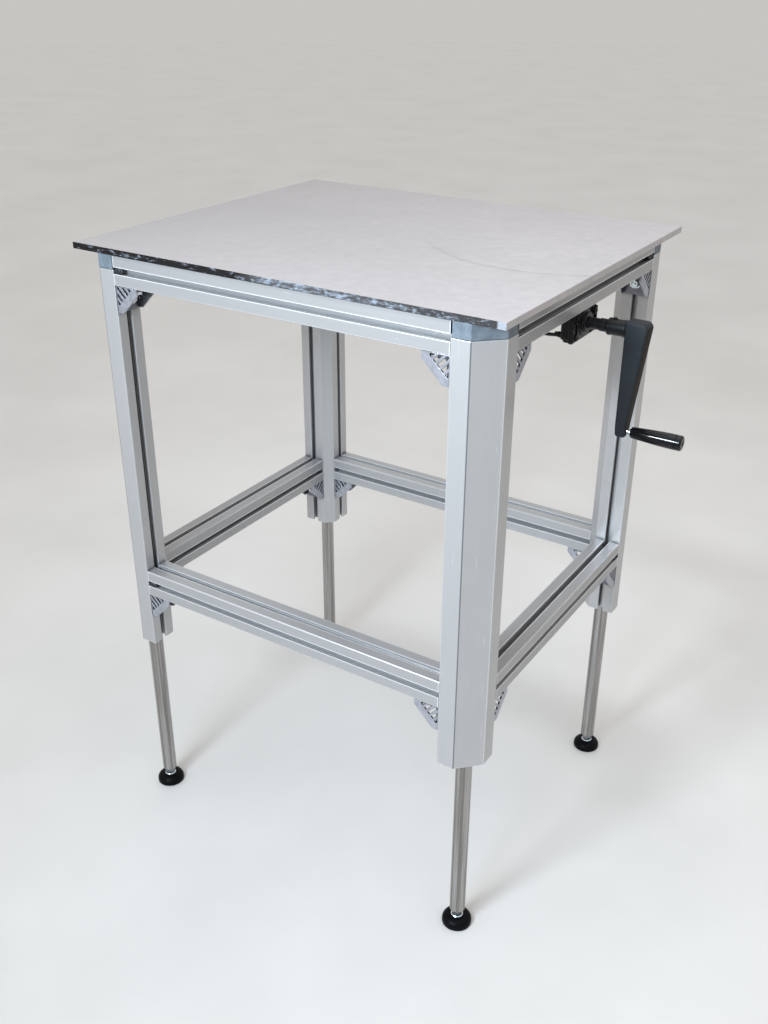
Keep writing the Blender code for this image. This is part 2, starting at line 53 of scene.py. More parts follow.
UPRIGHT = Matrix.Rotation(QUARTER, 4, "X")
CORNERS = [("front_left", -1, -1), ("front_right", 1, -1), ("back_right", 1, 1),
           ("back_left", -1, 1)]

# Places read from the frame
POSTS_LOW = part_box("post_front_left")[0]
POSTS_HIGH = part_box("post_back_right")[1]
CENTRE = (POSTS_LOW + POSTS_HIGH) / 2
POST_BOTTOM = POSTS_LOW.z
RIGHT_FACE = POSTS_HIGH.x
SHAFT_LOW, SHAFT_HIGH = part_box("crank_shaft")
CRANK_AXIS = (SHAFT_LOW + SHAFT_HIGH) / 2
GRIP_LOW, GRIP_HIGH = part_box("grip")
GRIP_AXIS = (GRIP_LOW + GRIP_HIGH) / 2

# Camera, measured from the middle of the posts' footprint on the floor
CAMERA_PLACE = Vector((0.8871, -1.3783, 1.3962))
CAMERA_DOWN = 0.4777
CAMERA_TURN = 0.5720
CAMERA_ROLL = 0.0041
CAMERA_LENS = 37.72

# Mesh work
SAME_POINT = 1e-7
SLIVER = 2e-5
SHARP = 25                      # degrees, from which an edge is rounded

# Worktop: the rub mark is an arc, its centre measured from the middle of the table
RUB_CENTRE_X, RUB_CENTRE_Y = 0.245, 0.142
RUB_RADIUS = 0.229
RUB_WIDTH = 0.006
RUB_WANDER = 0.016
PLATE_EASE = 0.0006
PLATE_TEAR = 0.0005
FROST_START, FROST_END = CENTRE.x - 0.05, CENTRE.x + 0.10

# Posts, gussets and their bolts
POST_CHAMFER = 0.033
GUSSET_TIP = 0.010
GUSSET_CHEEK = 0.003
GUSSET_PLATE = 0.005
GUSSET_SLOTS = 5
SLOT_PITCH = 0.0082
SLOT_WIDTH = 0.0042
SLOT_RIM = 0.0015
SLOT_BAND = 0.0124
BOLT_HEX = 0.013
BOLT_FLANGE_RADIUS = 0.0085
BOLT_FROM_CORNER = 0.0225

# Anchors in the beams' slots
ANCHOR_FROM_END = 0.009
ANCHOR_BELOW_FACE = 0.0046
ANCHOR_HALF = 0.0025
ANCHOR_RADIUS = 0.0043

# Legs
ROD_RADIUS = 0.0125
STUD_RADIUS, STUD_PITCH, THREAD_DEPTH = 0.006, 0.00175, 0.0010
HEX_FLATS = 0.016
PAD_TO_HEX = 0.002

# Hoses: for each post the port's Y and Z on the pump and the route from there to the post's
# entry, in X and Y from the middle of the table
HOSE_RADIUS = 0.0025
HOSE_STEP = 0.006
HOSE_ENTRY_Z = 0.977
HOSES = {
    "front_left": (-0.028, 0.952, [
        (0.288, -0.029, 0.952), (0.262, -0.036, 0.956), (0.236, -0.062, 0.967),
        (0.205, -0.110, 0.984), (0.150, -0.175, 0.993), (0.070, -0.220, 0.994),
        (-0.060, -0.234, 0.993), (-0.180, -0.232, 0.992), (-0.243, -0.221, 0.986)]),
    "front_right": (-0.040, 0.9315, [
        (0.292, -0.040, 0.929), (0.272, -0.050, 0.936), (0.264, -0.080, 0.958),
        (0.265, -0.125, 0.977), (0.267, -0.175, 0.984)]),
    "back_right": (-0.004, 0.952, [
        (0.292, -0.004, 0.952), (0.272, 0.006, 0.955), (0.264, 0.036, 0.964),
        (0.265, 0.095, 0.977), (0.267, 0.165, 0.984)]),
    "back_left": (-0.016, 0.952, [
        (0.288, -0.015, 0.952), (0.262, -0.008, 0.956), (0.236, 0.018, 0.967),
        (0.205, 0.070, 0.984), (0.150, 0.150, 0.993), (0.070, 0.212, 0.994),
        (-0.060, 0.234, 0.993), (-0.180, 0.232, 0.992), (-0.243, 0.221, 0.986)]),
}


# ---------------------------------------------------------------- materials

class Surface:
    """A Principled material whose colour, roughness and relief come from procedural nodes."""

    def __init__(self, name, metallic=0.0, specular=0.5):
        self.made = bpy.data.materials.new(name)
        self.made.use_nodes = True
        self.tree = self.made.node_tree
        self.shader = self.tree.nodes["Principled BSDF"]
        self.shader.inputs["Metallic"].default_value = metallic
        self.shader.inputs["Specular IOR Level"].default_value = specular
        self.place = self.tree.nodes.new("ShaderNodeTexCoord").outputs["Object"]
        self.relief = None

    def node(self, kind, inputs, **settings):
        """A new node with its settings, and its inputs linked or set."""
        made = self.tree.nodes.new(kind)
        for key, value in settings.items():
            setattr(made, key, value)
        for key, value in inputs.items():
            if isinstance(value, bpy.types.NodeSocket):
                self.tree.links.new(value, made.inputs[key])
            else:
                made.inputs[key].default_value = value
        return made

    def noise(self, scale, stretch=(1, 1, 1), detail=3.0, rough=0.55):
        """Fractal noise from about 0.3 to 0.7; a stretch below 1 draws it out along an axis."""
        inputs = {"Vector": self.place, "Scale": stretch}
        place = self.node("ShaderNodeMapping", inputs).outputs[0]
        inputs = {"Vector": place, "Scale": scale, "Detail": detail, "Roughness": rough}
        return self.node("ShaderNodeTexNoise", inputs).outputs["Fac"]

    def occlusion(self, reach, **settings):
        """How open a place is within a reach: 1 where nothing is near."""
        inputs = {"Distance": reach}
        return self.node("ShaderNodeAmbientOcclusion", inputs, samples=6, **settings).outputs["AO"]

    def crevice(self, reach):
        """1 in the open, falling towards 0 in slots and corners narrower than a reach."""
        return self.occlusion(reach)

    def ridge(self, reach):
        """1 on flat faces, falling towards 0 on the outer corners within a reach of an edge."""
        return self.occlusion(reach, inside=True, only_local=True)

    def span(self, value, low, high, first=0.0, last=1.0):
        """The value's stretch from low to high, mapped to first ... last and clamped."""
        inputs = {"Value": value, "From Min": low, "From Max": high,
                  "To Min": first, "To Max": last}
        return self.node("ShaderNodeMapRange", inputs).outputs["Result"]

    def math(self, operation, first, second=0.0):
        return self.node("ShaderNodeMath", {0: first, 1: second}, operation=operation).outputs[0]

    def axis(self, letter):
        return self.node("ShaderNodeSeparateXYZ", {0: self.place}).outputs[letter]

    def blend(self, share, first, second):
        """A colour between two, by a share from 0 to 1."""
        first, second = (colour if isinstance(colour, bpy.types.NodeSocket) else (*colour, 1)
                         for colour in (first, second))
        inputs = {0: share, 6: first, 7: second}
        return self.node("ShaderNodeMix", inputs, data_type="RGBA").outputs[2]

    def colour(self, socket, painted_shade=None, reach=0.010):
        """Sets the base colour, blended towards a painted shade colour in slots and corners where
        shade falls.
        """
        # Painted shade: the colour darkens where nearby faces enclose the place.
        if painted_shade is not None:
            socket = self.blend(self.span(self.crevice(reach), 0.40, 0.92), painted_shade, socket)
        self.tree.links.new(socket, self.shader.inputs["Base Color"])

    def rough(self, socket):
        self.tree.links.new(socket, self.shader.inputs["Roughness"])

    def bump(self, height, depth):
        """Adds a relief of a depth to what is already there."""
        inputs = {"Height": height, "Distance": depth}
        if self.relief is not None:
            inputs["Normal"] = self.relief
        self.relief = self.node("ShaderNodeBump", inputs).outputs["Normal"]
        self.tree.links.new(self.relief, self.shader.inputs["Normal"])


def painted_chamfer_light(made, base):
    """A post's painted edge light where its wide chamfer begins: a dark line of painted shade on
    the outer face at the front or back and a pale line of painted highlight on the outer face at
    the side."""
    across = made.math("ABSOLUTE", made.math("SUBTRACT", made.axis("X"), CENTRE.x))
    away = made.math("ABSOLUTE", made.math("SUBTRACT", made.axis("Y"), CENTRE.y))
    reach_x, reach_y = POSTS_HIGH.x - CENTRE.x, POSTS_HIGH.y - CENTRE.y
    skin, core, rim = 0.001, 0.0006, 0.0012
    # A painted shade line and a painted highlight line.
    dark, pale = (0.10, 0.11, 0.12), (0.80, 0.82, 0.85)
    for first, edge, second, face, colour, share in (
            (across, reach_x - POST_CHAMFER, away, reach_y, dark, 0.8),
            (away, reach_y - POST_CHAMFER, across, reach_x, pale, 0.5)):
        off = made.math("ABSOLUTE", made.math("SUBTRACT", first, edge))
        near = made.math("GREATER_THAN", second, face - skin)
        line = made.math("MULTIPLY", made.span(off, core, rim, share, 0.0), near)
        base = made.blend(line, base, colour)
    return base


def extruded_aluminium(letter, tone, edge_highlight):
    """Clear anodised profile: die lines along one axis, handling marks, rare scratches, and a
    painted highlight on the edges by a share."""
    along = "XYZ".index(letter)
    lines, scratch = [1.0] * 3, [1.0] * 3
    lines[along], scratch[along] = 0.006, 0.05
    made = Surface(f"anodised_{letter.lower()}", metallic=0.55)
    streak = made.noise(900, lines, rough=0.6)
    cloud = made.noise(11, detail=4.0)
    nick = made.span(made.noise(420, scratch, detail=1.0), 0.72, 0.78)
    drawn, handled = [0.94 * c for c in tone], [0.86 * c for c in tone]
    base = made.blend(made.span(streak, 0.3, 0.7), drawn, tone)
    base = made.blend(made.span(cloud, 0.40, 0.75, 0.0, 0.35), base, handled)
    base = made.blend(made.math("MULTIPLY", nick, 0.4), base, (0.75, 0.76, 0.78))
    if letter == "Z":
        base = painted_chamfer_light(made, base)
    # Painted highlight: near white on the rounded edges, by the share.
    edge = made.span(made.ridge(0.0020), 0.62, 0.92, edge_highlight, 0.0)
    base = made.blend(edge, base, (0.97, 0.98, 1.0))
    # Painted shade, near black, in the slots and inner corners.
    made.colour(base, painted_shade=(0.06, 0.065, 0.07), reach=0.008 if letter == "Z" else 0.0065)
    lined, smudged = made.span(streak, 0.2, 0.8, 0.32, 0.35), made.span(cloud, 0.3, 0.7, 0, 0.07)
    made.rough(made.math("ADD", lined, smudged))
    made.bump(streak, 0.00001)
    made.bump(nick, 0.00003)
    return made.made


def rub_mark(made):
    """The share of the worktop's long rub mark: a wandering arc, faint towards the back."""
    across = made.math("SUBTRACT", made.axis("X"), CENTRE.x + RUB_CENTRE_X)
    away = made.math("SUBTRACT", made.axis("Y"), CENTRE.y + RUB_CENTRE_Y)
    wander = made.math("MULTIPLY", made.noise(9, detail=2.0), RUB_WANDER)
    squares = made.math("ADD", made.math("POWER", across, 2), made.math("POWER", away, 2))
    ring = made.math("ADD", made.math("POWER", squares, 0.5), wander)
    off = made.math("ABSOLUTE", made.math("SUBTRACT", ring, RUB_RADIUS))
    line, fade = made.span(off, 0.0, RUB_WIDTH, 1.0, 0.0), made.span(away, -0.26, -0.10, 1.0, 0.0)
    broken = made.span(made.noise(38), 0.35, 0.60, 0.25, 0.90)
    return made.math("MULTIPLY", made.math("MULTIPLY", line, fade), broken)


def worktop_plate():
    """Satin aluminium plate: mill grain, soft smudges, darker towards the left, one rub mark."""
    made = Surface("worktop_plate", metallic=0.12, specular=0.30)
    grain = made.noise(1600, (1, 0.12, 1))
    smudge = made.noise(4.5, detail=5.0, rough=0.6)
    fine = made.noise(60, detail=4.0)
    left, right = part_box("worktop")[0].x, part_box("worktop")[1].x
    pale, grey = (0.500, 0.472, 0.476), (0.438, 0.414, 0.418)
    base = made.blend(made.span(smudge, 0.35, 0.70), pale, grey)
    base = made.blend(made.span(fine, 0.35, 0.65, 0.0, 0.45), base, (0.395, 0.373, 0.377))
    base = made.blend(made.span(grain, 0.45, 0.75, 0.0, 0.40), base, (0.555, 0.525, 0.528))
    # Darker towards the left end.
    dull = made.span(made.axis("X"), left, right, 0.75, 0.0)
    base = made.blend(dull, base, (0.335, 0.316, 0.318))
    made.colour(made.blend(rub_mark(made), base, (0.30, 0.28, 0.275)))
    smudged, worn = made.span(smudge, 0.3, 0.7, 0.40, 0.52), made.span(fine, 0.3, 0.7, 0, 0.06)
    made.rough(made.math("ADD", smudged, worn))
    made.bump(grain, 0.00001)
    return made.made


def sawn_edge():
    """The plate's front edge: black with small bright tears, frosted grey along a stretch, and
    clean metal beside the right-hand corner."""
    made = Surface("sawn_edge", metallic=0.2, specular=0.15)
    black, grey = (0.010, 0.009, 0.009), (0.105, 0.100, 0.102)
    tear = made.noise(210, (0.35, 1, 1), detail=6.0, rough=0.75)
    fleck = made.noise(150, (0.4, 1, 1))
    begun = made.span(made.axis("X"), FROST_START, FROST_START + 0.05)
    ended = made.span(made.axis("X"), FROST_END, FROST_END + 0.20, 1.0, 0.5)
    far = made.math("MULTIPLY", begun, ended)
    frost = made.span(made.math("ADD", tear, made.math("MULTIPLY", far, 0.13)), 0.60, 0.72)
    fleck, torn = made.span(fleck, 0.54, 0.62, 0.0, 0.8), made.span(tear, 0.46, 0.54)
    base = made.blend(made.math("MULTIPLY", far, 0.6), black, grey)
    base = made.blend(frost, base, (0.26, 0.29, 0.34))
    base = made.blend(made.math("MULTIPLY", fleck, torn), base, (0.19, 0.21, 0.25))
    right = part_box("worktop")[1].x
    clean = made.span(made.axis("X"), right - 0.013, right - 0.010)
    made.colour(made.blend(clean, base, (0.30, 0.315, 0.34)))
    made.rough(made.span(tear, 0.3, 0.7, 0.45, 0.65))
    made.bump(tear, 0.0008)
    return made.made


def moulded_plastic(name, dark, light, speck):
    """Matt plastic with a fine moulded grain and paler specks."""
    made = Surface(name)
    grain = made.noise(1500, detail=2.0)
    cloud = made.noise(70, detail=4.0)
    base = made.blend(made.span(cloud, 0.35, 0.65), dark, light)
    made.colour(made.blend(made.span(grain, 0.58, 0.68, 0.0, 0.5), base, speck))
    made.rough(made.span(grain, 0.3, 0.7, 0.42, 0.58))
    made.bump(grain, 0.00008)
    return made.made


def die_casting():
    """Grey die-cast metal with a sparkling, slightly pitted skin, and painted shade in its hollows.
    """
    made = Surface("die_cast_aluminium", metallic=0.75)
    grain = made.noise(900, rough=0.7)
    patch = made.noise(90)
    base = made.blend(made.span(patch, 0.35, 0.65), (0.34, 0.35, 0.39), (0.46, 0.47, 0.53))
    base = made.blend(made.span(grain, 0.55, 0.70, 0.0, 0.8), base, (0.70, 0.74, 0.82))
    # Painted shade, near black, within reach of the cheeks and plates.
    made.colour(base, painted_shade=(0.022, 0.025, 0.028), reach=0.030)
    made.rough(made.span(grain, 0.35, 0.65, 0.45, 0.25))
    made.bump(grain, 0.00025)
    return made.made


def cast_black(name, base, worn, rough, pebbles, specular=0.25):
    """Black paint over a casting: pebbled skin of a depth, and wear on its high spots."""
    made = Surface(name, specular=specular)
    pebble = made.noise(700, rough=0.6)
    wear = made.noise(120, detail=5.0, rough=0.65)
    made.colour(made.blend(made.span(wear, 0.56, 0.72, 0.0, 0.7), base, worn))
    made.rough(made.span(pebble, 0.3, 0.7, *rough))
    made.bump(pebble, pebbles)
    return made.made


def bare_metal(name, tint, blotches, rough):
    """Plated or machined metal: a fine grain and faint blotches of a second tint."""
    made = Surface(name, metallic=1.0)
    grain = made.noise(1400, detail=2.0)
    made.colour(made.blend(made.span(made.noise(160), 0.35, 0.65), tint, blotches))
    made.rough(made.span(grain, 0.3, 0.7, rough, rough + 0.14))
    made.bump(grain, 0.00003)
    return made.made


def drawn_rod():
    """Ground stainless tube: lengthwise draw lines, and dark brown lengthwise streaks of painted
    reflection.
    """
    made = Surface("drawn_stainless", metallic=1.0)
    line = made.noise(700, (1, 1, 0.012), detail=4.0, rough=0.7)
    reflection_streak = made.noise(160, (1, 1, 0.01), detail=2.0)
    base = made.blend(made.span(line, 0.3, 0.7), (0.28, 0.265, 0.255), (0.50, 0.49, 0.48))
    # Painted reflection: dark brown lengthwise streaks.
    made.colour(made.blend(made.span(reflection_streak, 0.48, 0.60, 0.0, 0.65), base, (0.17, 0.15, 0.135)))
    made.rough(made.span(line, 0.3, 0.7, 0.16, 0.32))
    made.bump(line, 0.00004)
    return made.made


def gloss_plastic(name, base, dust, rough, specular):
    """Polished black plastic with a little dust and hairline swirls."""
    made = Surface(name, specular=specular)
    swirl = made.noise(260, detail=4.0)
    made.colour(made.blend(made.span(swirl, 0.60, 0.75, 0.0, 0.5), base, dust))
    made.rough(made.span(swirl, 0.3, 0.7, rough, rough + 0.05))
    made.bump(swirl, 0.00002)
    return made.made


def rubber(name, base):
    """Matt rubber with a grain of paler dust."""
    made = Surface(name)
    grain = made.noise(800)
    dusty = tuple(3 * c for c in base)
    made.colour(made.blend(made.span(grain, 0.4, 0.7, 0.0, 0.5), base, dusty))
    made.rough(made.span(grain, 0.3, 0.7, 0.45, 0.65))
    made.bump(grain, 0.0001)
    return made.made


def studio_floor():
    """Plain pale floor with a barely visible mottle."""
    made = Surface("studio_floor")
    mottle = made.noise(2.2, detail=5.0)
    dark, pale = (0.62, 0.605, 0.585), (0.67, 0.655, 0.635)
    made.colour(made.blend(made.span(mottle, 0.35, 0.65), dark, pale))
    made.rough(made.span(mottle, 0.3, 0.7, 0.45, 0.6))
    return made.made


# Painted shade in the tones: the front and back beams about a tenth darker than the posts and the
# side beams about a fifth; the posts' painted edge highlight is weaker than the beams'.
ALUMINIUM = {"X": extruded_aluminium("X", (0.440, 0.438, 0.442), 1.0),
             "Y": extruded_aluminium("Y", (0.395, 0.395, 0.400), 1.0),
             "Z": extruded_aluminium("Z", (0.490, 0.488, 0.492), 0.3)}
PLATE_TOP = worktop_plate()
PLATE_FRONT = sawn_edge()
CAP_PLASTIC = moulded_plastic("cap_plastic", (0.095, 0.120, 0.142), (0.145, 0.180, 0.210),
                              (0.30, 0.36, 0.41))
CASTING = die_casting()
CASTING_INSIDE = bare_metal("die_cast_machined", (0.20, 0.20, 0.23), (0.16, 0.16, 0.18), 0.26)
PUMP_BLACK = cast_black("pump_black", (0.005, 0.005, 0.006), (0.030, 0.030, 0.034),
                        rough=(0.16, 0.40), pebbles=0.0005)
SHAFT_BLACK = cast_black("shaft_black", (0.007, 0.007, 0.008), (0.025, 0.026, 0.029),
                         rough=(0.25, 0.45), pebbles=0.00012)
ARM_PAINT = cast_black("arm_paint", (0.012, 0.0145, 0.0185), (0.020, 0.023, 0.028),
                       rough=(0.42, 0.56), pebbles=0.00012)
# Worn paint on the arm's outer face, its brown partly a painted reflection of the floor.
ARM_WORN_AND_REFLECTION = cast_black("arm_worn_and_floor_reflection", (0.018, 0.0145, 0.0125), (0.060, 0.043, 0.033),
                      rough=(0.40, 0.60), pebbles=0.00030, specular=0.06)
ZINC = bare_metal("zinc_plate", (0.66, 0.84, 0.92), (0.85, 0.86, 0.86), 0.10)
# Rougher zinc for the studs' hexagons, its darker colour a painted shade under the rods.
ZINC_DULL_SHADED = bare_metal("shaded_dull_zinc_plate", (0.36, 0.40, 0.46), (0.30, 0.31, 0.33), 0.30)
STEEL_DARK = bare_metal("blued_steel", (0.10, 0.105, 0.115), (0.14, 0.14, 0.15), 0.38)
ROD = drawn_rod()
GLOSS = gloss_plastic("gloss_black", (0.003, 0.003, 0.004), (0.006, 0.006, 0.008), 0.05, 0.34)
PAD_BLACK = gloss_plastic("pad_black", (0.003, 0.003, 0.004), (0.007, 0.007, 0.008), 0.36, 0.07)
RUBBER = rubber("black_rubber", (0.010, 0.010, 0.011))


# ---------------------------------------------------------------- meshes

def at(x, y, z):
    """A move from the origin to a place."""
    return Matrix.Translation((x, y, z))


def finish_mesh(bm, name, smooth=None):
    """A mesh from a bmesh, smooth across edges flatter than an angle in degrees."""
    bmesh.ops.recalc_face_normals(bm, faces=bm.faces)
    mesh = bpy.data.meshes.new(name)
    bm.to_mesh(mesh)
    bm.free()
    if smooth is not None:
        mesh.shade_smooth()
        mesh.set_sharp_from_angle(angle=math.radians(smooth))
    return mesh


def round_edges(bm, width, segments, angle=SHARP, clamp=False):
    """Rounds the edges that turn by more than an angle in degrees."""
    bmesh.ops.recalc_face_normals(bm, faces=bm.faces)
    sharp = [e for e in bm.edges if e.calc_face_angle() > math.radians(angle)]
    bmesh.ops.bevel(bm, geom=sharp, offset=width, segments=segments, profile=0.5,
                    affect="EDGES", clamp_overlap=clamp)


def turned(profile, steps=64, place=Matrix()):
    """A profile of (radius, height) spun about Z; it closes on the axis or on itself."""
    bm = bmesh.new()
    verts = [bm.verts.new((r, 0, z)) for r, z in profile]
    edges = [bm.edges.new(pair) for pair in zip(verts, verts[1:])]
    if profile[0][0] > 0:
        edges.append(bm.edges.new((verts[-1], verts[0])))
    turn = {"axis": (0, 0, 1), "cent": (0, 0, 0), "angle": 2 * math.pi}
    bmesh.ops.spin(bm, geom=verts + edges, steps=steps, use_merge=True, **turn)
    bmesh.ops.remove_doubles(bm, verts=bm.verts, dist=SAME_POINT)
    bmesh.ops.transform(bm, matrix=place, verts=bm.verts)
    return finish_mesh(bm, "turned", smooth=32)


def prism(outline, length, edge=0.0, place=Matrix()):
    """A flat outline extruded up Z with its sharp edges rounded."""
    bm = bmesh.new()
    base = bm.faces.new([bm.verts.new((x, y, 0)) for x, y in outline])
    end = bmesh.ops.extrude_face_region(bm, geom=[base])
    top = [v for v in end["geom"] if isinstance(v, bmesh.types.BMVert)]
    bmesh.ops.translate(bm, verts=top, vec=(0, 0, length))
    if edge:
        round_edges(bm, edge, 3)
    bmesh.ops.transform(bm, matrix=place, verts=bm.verts)
    return finish_mesh(bm, "prism", smooth=20)


def ring_prism(outer, inner, length, edge, place):
    """A flat ring between two outlines of as many corners, extruded up Z with its sharp edges
    rounded."""
    bm = bmesh.new()
    rings = [[bm.verts.new((x, y, z)) for x, y in outline]
             for z in (0, length) for outline in (outer, inner)]
    for first, second in ((0, 1), (2, 3), (0, 2), (1, 3)):
        here, there = rings[first], rings[second]
        for k in range(len(outer)):
            bm.faces.new((here[k], here[k - 1], there[k - 1], there[k]))
    round_edges(bm, edge, 2)
    bmesh.ops.transform(bm, matrix=place, verts=bm.verts)
    return finish_mesh(bm, "ring_prism", smooth=20)


def block(low, high, edge):
    """A box with rounded edges between two corners."""
    low, high = Vector(low), Vector(high)
    outline = [(low.x, low.y), (high.x, low.y), (high.x, high.y), (low.x, high.y)]
    return prism(outline, high.z - low.z, edge, at(0, 0, low.z))


def loft(bm, rings):
    """Joins rings of as many vertices into a closed skin; returns its sides, ring by ring."""
    sides = []
    for lower, upper in zip(rings, rings[1:]):
        for k, corner in enumerate(lower):
            after = (k + 1) % len(lower)
            sides.append(bm.faces.new((corner, lower[after], upper[after], upper[k])))
    bm.faces.new(rings[0])
    bm.faces.new(rings[-1])
    return sides


def arc(centre, radius, start, end, steps):
    """Points on an arc, its angles in degrees."""
    angles = [math.radians(start + (end - start) * k / steps) for k in range(steps + 1)]
    return [(centre[0] + radius * math.cos(a), centre[1] + radius * math.sin(a)) for a in angles]


def joined(name, meshes, materials, place=Matrix()):
    """One mesh from several closed ones, each with its index in a list of materials."""
    bm = bmesh.new()
    for mesh, index in meshes:
        start = len(bm.faces)
        bm.from_mesh(mesh)
        bm.faces.ensure_lookup_table()
        for face in bm.faces[start:]:
            face.material_index = index
        bpy.data.meshes.remove(mesh)
    bmesh.ops.transform(bm, matrix=place, verts=bm.verts)
    mesh = bpy.data.meshes.new(name)
    bm.to_mesh(mesh)
    bm.free()
    for material in materials:
        mesh.materials.append(material)
    return mesh


def hexagon_head(flats, low, high):
    """A bolt head's hexagon with chamfered corners, between two heights."""
    radius = flats / math.sqrt(3)
    angles = [2 * math.pi * k / 6 for k in range(6)]
    corners = [(radius * math.cos(a), radius * math.sin(a)) for a in angles]
    bm = bmesh.new()
    rings = [[bm.verts.new((x * scale, y * scale, z)) for x, y in corners]
             for z, scale in ((low, 0.94), (low + 0.0008, 1.0), (high - 0.0010, 1.0), (high, 0.90))]
    loft(bm, rings)
    return finish_mesh(bm, "hexagon")


def threaded_bar(radius, pitch, depth, low, high, steps=20, rows_per_turn=6):
    """A bar with a helical thread cut into it, between two heights."""
    bm = bmesh.new()
    count = math.ceil((high - low) / pitch * rows_per_turn)
    rings = []
    for row in range(count + 1):
        z = low + (high - low) * row / count
        lead_in = min(1.0, (high - z) / pitch + 0.1) ** 0.2
        ring = []
        for k in range(steps):
            phase = (z / pitch - k / steps) % 1.0
            cut = depth * abs(2 * phase - 1)
            turn = 2 * math.pi * k / steps
            ring.append(bm.verts.new(((radius - cut) * lead_in * math.cos(turn),
                                      (radius - cut) * lead_in * math.sin(turn), z)))
        rings.append(ring)
    loft(bm, rings)
    return finish_mesh(bm, "thread", smooth=40)


def socket_screw(radius, height, place):
    """A socket cap screw's head standing on a surface, with its recess."""
    key, lip = radius * 0.52, 0.0006
    profile = [(0, height * 0.45), (key, height * 0.5), (key, height), (radius - lip, height)]
    profile += [(radius, height - lip), (radius, 0), (0, 0)]
    return turned(profile, 24, place)


def flange_bolt(place):
    """A flange bolt's head standing on a surface: washer face, hexagon and rounded bolt end."""
    radius = BOLT_FLANGE_RADIUS
    skirt = [(0, 0), (radius, 0), (radius, 0.0009), (BOLT_HEX * 0.52, 0.0024), (0, 0.0024)]
    end = [(0, 0.0098), (0.0026, 0.0098), (0.0038, 0.0088), (0.0038, 0.0060), (0, 0.0060)]
    hexagon = hexagon_head(BOLT_HEX, 0.0018, 0.0082)
    hexagon.transform(place)
    return [turned(skirt, 28, place), hexagon, turned(end, 20, place)]


def placed_object(piece, body, slot, *nodes):
    """Puts a piece in the scene, on its body, and hides the CAD nodes it stands for; its finish
    slot is not used."""
    bpy.context.scene.collection.objects.link(piece)
    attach(piece, body)
    if nodes:
        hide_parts(*nodes)


def placed(mesh, body, slot, *nodes):
    """Puts a mesh in the scene as a piece of the same name."""
    placed_object(bpy.data.objects.new(mesh.name, mesh), body, slot, *nodes)


def soften(node, width):
    """Welds a CAD node's packed triangles, joins its flat faces and rounds its sharp edges."""
    weld = node.modifiers.new("weld", "WELD")
    weld.merge_threshold = 1e-6
    flat = node.modifiers.new("flat", "DECIMATE")
    flat.decimate_type = "DISSOLVE"
    flat.angle_limit = math.radians(0.5)
    edges = node.modifiers.new("edges", "BEVEL")
    edges.width = width
    edges.segments = 2
    edges.limit_method = "ANGLE"
    edges.angle_limit = math.radians(SHARP)
    edges.miter_outer = "MITER_ARC"


def dress(name, material, width=0.0):
    """Gives a CAD node its finish, with softened edges where a width is given."""
    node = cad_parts[name]
    for slot in node.material_slots:
        slot.material = material
    if width:
        soften(node, width)


# ---------------------------------------------------------------- the table's frame

def dress_frame():
    """Finishes for the posts, caps, barrels and beams, each beam with die lines along itself."""
    for corner, _, _ in CORNERS:
        dress(f"post_{corner}", ALUMINIUM["Z"], 0.0008)
        dress(f"cap_{corner}", CAP_PLASTIC, 0.0008)
        dress(f"barrel_{corner}", ROD)
    for level in ("upper", "lower"):
        for side, letter in (("front", "X"), ("back", "X"), ("left", "Y"), ("right", "Y")):
            dress(f"beam_{level}_{side}", ALUMINIUM[letter], 0.0007)


def make_worktop():
    """The plate: its front edge torn by the saw, the other edges eased with a file."""
    low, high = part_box("worktop")
    ease, steps = PLATE_EASE, 260
    draw = random.Random(11)
    width = high.x - low.x
    section = [(ease, low.z), (ease * 0.3, low.z + ease * 0.3), (0, low.z + ease)]
    section += [(0, high.z - ease), (ease * 0.3, high.z - ease * 0.3), (ease, high.z)]
    bm = bmesh.new()
    rings = []
    for inset, z in section:
        left, right, front, back = low.x + inset, high.x - inset, low.y + inset, high.y - inset
        torn = [(low.x + width * k / steps, front + draw.uniform(0, PLATE_TEAR))
                for k in range(1, steps)]
        outline = [(left, front), *torn, (right, front), (right, back), (left, back)]
        rings.append([bm.verts.new((x, y, z)) for x, y in outline])
    for k, face in enumerate(loft(bm, rings)):
        face.material_index = int(k % len(rings[0]) < steps)
    mesh = finish_mesh(bm, "worktop_plate", smooth=8)
    mesh.materials.append(PLATE_TOP)
    mesh.materials.append(PLATE_FRONT)
    placed(mesh, "frame", "worktop_plate", "worktop")


